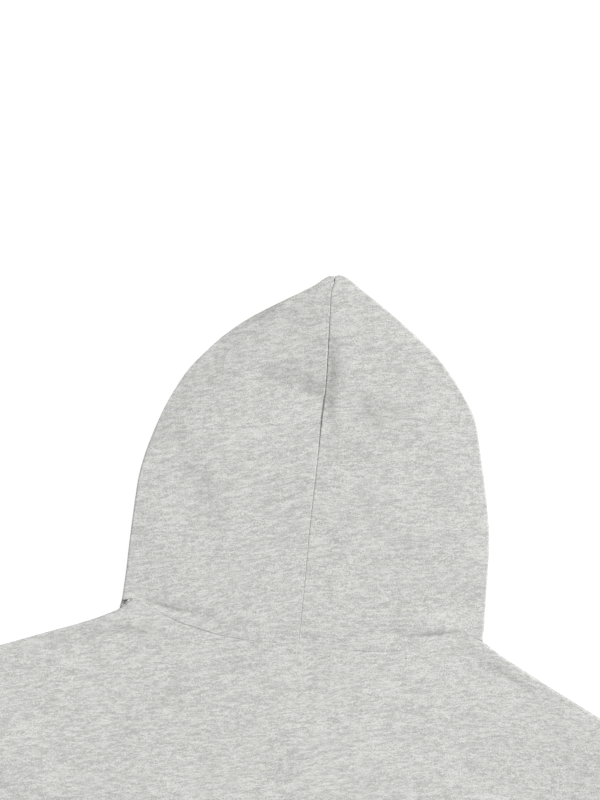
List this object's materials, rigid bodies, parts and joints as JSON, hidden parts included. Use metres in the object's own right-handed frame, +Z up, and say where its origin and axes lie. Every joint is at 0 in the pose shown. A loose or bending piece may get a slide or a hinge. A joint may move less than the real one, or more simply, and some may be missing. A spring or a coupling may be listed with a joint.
{
  "type": "zip-up hoodie",
  "caption": "Heather grey hooded sweatshirt with a front zip, lying flat on its front with the hood spread upwards and the sleeves at its sides.",
  "frame": {"origin": "centre of the garment's outline on the surface that it lies on", "axes": "+X towards the wearer's right, along the span from cuff to cuff; +Y from the hem towards the crown of the hood; +Z up from the surface, out of the back"},
  "size_m": [1.3046, 0.9612, 0.0106],
  "materials": {
    "heather_fleece": "soft matt brushed knit, light grey heather",
    "heather_rib": "matt ribbed knit, light grey heather",
    "zip_tape": "matt woven tape",
    "zip_coil": "satin moulded coil",
    "zip_metal": "satin nickel"
  },
  "bodies": {
    "garment": {"back": "heather_fleece", "left_front": "heather_fleece", "right_front": "heather_fleece", "hood_left": "heather_fleece", "hood_right": "heather_fleece", "left_sleeve": "heather_fleece", "right_sleeve": "heather_fleece", "left_cuff": "heather_rib", "right_cuff": "heather_rib", "hem_band": "heather_rib", "zip_tape_left": "zip_tape", "zip_tape_right": "zip_tape", "zip_chain": "zip_coil", "zip_slider": "zip_metal", "zip_stop_left": "zip_metal", "zip_stop_right": "zip_metal", "zip_box": "zip_metal"},
    "pull_tab": {"zip_pull": "zip_metal"}
  },
  "joints": [
    {"name": "pull_tab_hinge", "type": "hinge", "parent": "garment", "child": "pull_tab", "pos_m": [0, 0.0982, 0.0021], "axis": [1, 0, 0], "range_deg": [-3, 165]}
  ]
}
